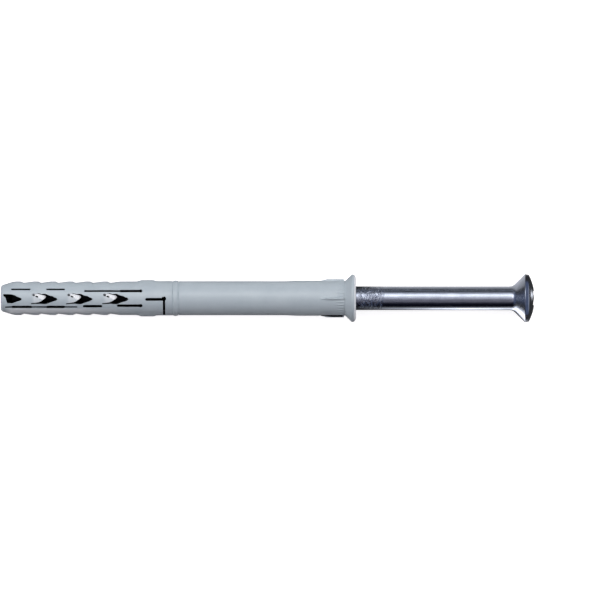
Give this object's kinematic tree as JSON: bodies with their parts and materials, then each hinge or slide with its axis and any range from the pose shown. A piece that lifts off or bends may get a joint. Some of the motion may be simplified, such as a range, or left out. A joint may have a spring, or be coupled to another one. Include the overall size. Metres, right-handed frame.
{
  "type": "nylon frame plug",
  "caption": "Long grey nylon frame plug with a slotted, barbed expansion zone and a countersunk collar, with a raised countersunk six-lobe screw standing part way out of it.",
  "frame": {"origin": "centre of the collar's outer face, on the plug's axis, where the plug meets the face of the frame", "axes": "+X along the plug's axis, from the sleeve's tip towards the screw's head; +Z out of the middle of the front row of windows; +Y across, with the barbs on +Y and -Y"},
  "size_m": [0.1501, 0.0136, 0.0136],
  "materials": {
    "nylon": "moulded, satin, cool light grey",
    "zinc_steel": "bright zinc plating with fine drawn lines"
  },
  "bodies": {
    "root": {"plug_sleeve": "nylon", "screw": "zinc_steel"}
  },
  "joints": []
}
